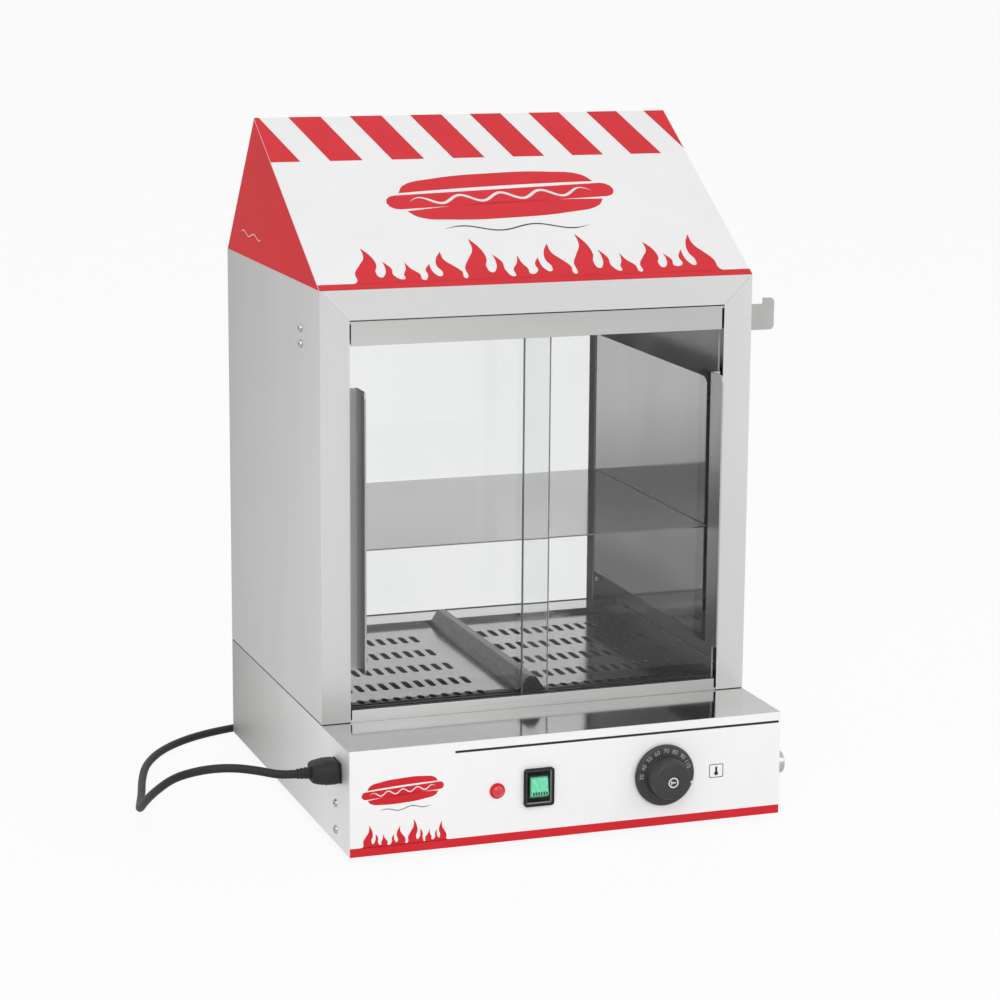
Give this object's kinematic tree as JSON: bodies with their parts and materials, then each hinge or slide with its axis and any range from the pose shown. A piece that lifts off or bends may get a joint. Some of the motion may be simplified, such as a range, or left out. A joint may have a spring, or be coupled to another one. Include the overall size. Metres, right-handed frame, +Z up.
{
  "type": "hot dog steamer",
  "caption": "countertop steam cabinet with sliding glass doors, a lift-out shelf and slotted trays over a heated water pan, a sloped painted roof and a front control console",
  "frame": {"origin": "middle of the footprint without the cord, on the plane that the four feet stand on", "axes": "X to the right seen from the front, Y from the console to the rear window, Z up from the feet to the roof ridge"},
  "size_m": [0.5683, 0.5242, 0.5805],
  "materials": {
    "outer_steel": "brushed",
    "bright_steel": "polished",
    "fastener_steel": "satin",
    "heater_steel": "satin",
    "door_glass": "clear",
    "roof_paint": "gloss",
    "gable_paint": "gloss",
    "knob_plastic": "satin",
    "switch_plastic": "satin",
    "rocker_plastic": "gloss",
    "lamp_plastic": "gloss",
    "lamp_case_plastic": "satin",
    "cord_rubber": "satin",
    "tie_plastic": "matte",
    "foot_rubber": "matte"
  },
  "bodies": {
    "cabinet": {"base_housing": "outer_steel", "bottom_cover": "outer_steel", "bulb_gland": "fastener_steel", "ceiling_panel": "bright_steel", "coil_tie": "tie_plastic", "console_wires": "cord_rubber", "control_panel": "outer_steel", "cord_coil": "cord_rubber", "cord_run": "cord_rubber", "drain_pipe": "bright_steel", "foot_back_left": "foot_rubber", "foot_back_right": "foot_rubber", "foot_front_left": "foot_rubber", "foot_front_right": "foot_rubber", "foot_screws": "fastener_steel", "front_header": "outer_steel", "heater_nuts": "fastener_steel", "heating_element": "heater_steel", "hook_screws": "fastener_steel", "lamp_body": "lamp_case_plastic", "lamp_lens": "lamp_plastic", "left_baffle_spacers": "bright_steel", "left_gable": "gable_paint", "left_side_panel": "outer_steel", "left_steam_baffle": "bright_steel", "low_water_probe": "heater_steel", "lower_track": "bright_steel", "mains_plug": "switch_plastic", "power_connector": "switch_plastic", "power_inlet": "switch_plastic", "rear_frame": "outer_steel", "rear_glass": "door_glass", "rear_rail": "bright_steel", "right_baffle_spacers": "bright_steel", "right_gable": "gable_paint", "right_side_panel": "outer_steel", "right_steam_baffle": "bright_steel", "roof_sheet": "roof_paint", "shelf_rests": "bright_steel", "side_screws": "fastener_steel", "switch_bezel": "switch_plastic", "terminal_block": "lamp_case_plastic", "thermostat_body": "switch_plastic", "thermostat_bulb": "heater_steel", "tong_hook": "bright_steel", "top_ledge": "bright_steel", "tray_ridge": "bright_steel", "upper_track": "bright_steel", "water_pan": "bright_steel"},
    "left_door": {"left_door_glass": "door_glass", "left_door_handle": "bright_steel"},
    "right_door": {"right_door_glass": "door_glass", "right_door_handle": "bright_steel"},
    "dial": {"thermostat_knob": "knob_plastic", "thermostat_shaft": "fastener_steel"},
    "switch_rocker": {"rocker": "rocker_plastic"},
    "lift_out_left_tray": {"left_tray": "bright_steel"},
    "lift_out_right_tray": {"right_tray": "bright_steel"},
    "lift_out_shelf": {"shelf": "bright_steel"},
    "drain_closure": {"drain_cap": "bright_steel"}
  },
  "joints": [
    {"name": "left_door_slide", "type": "slide", "parent": "cabinet", "child": "left_door", "axis": [1, 0, 0], "range_m": [0, 0.14]},
    {"name": "right_door_slide", "type": "slide", "parent": "cabinet", "child": "right_door", "axis": [1, 0, 0], "range_m": [-0.14, 0]},
    {"name": "thermostat_turn", "type": "hinge", "parent": "cabinet", "child": "dial", "pos_m": [0.0833, -0.1912, 0.0505], "axis": [0, 1, 0], "range_deg": [0, 270]},
    {"name": "rocker_tip", "type": "hinge", "parent": "cabinet", "child": "switch_rocker", "pos_m": [-0.028, -0.188, 0.0505], "axis": [1, 0, 0], "range_deg": [0, 18]},
    {"name": "left_tray_lift", "type": "slide", "parent": "cabinet", "child": "lift_out_left_tray", "axis": [0, 0, 1], "range_m": [0, 0.03]},
    {"name": "right_tray_lift", "type": "slide", "parent": "cabinet", "child": "lift_out_right_tray", "axis": [0, 0, 1], "range_m": [0, 0.03]},
    {"name": "shelf_lift", "type": "slide", "parent": "cabinet", "child": "lift_out_shelf", "axis": [0, 0, 1], "range_m": [0, 0.1]},
    {"name": "drain_cap_turn", "type": "hinge", "parent": "cabinet", "child": "drain_closure", "pos_m": [0.199, -0.13, 0.0315], "axis": [1, 0, 0], "continuous": true}
  ]
}
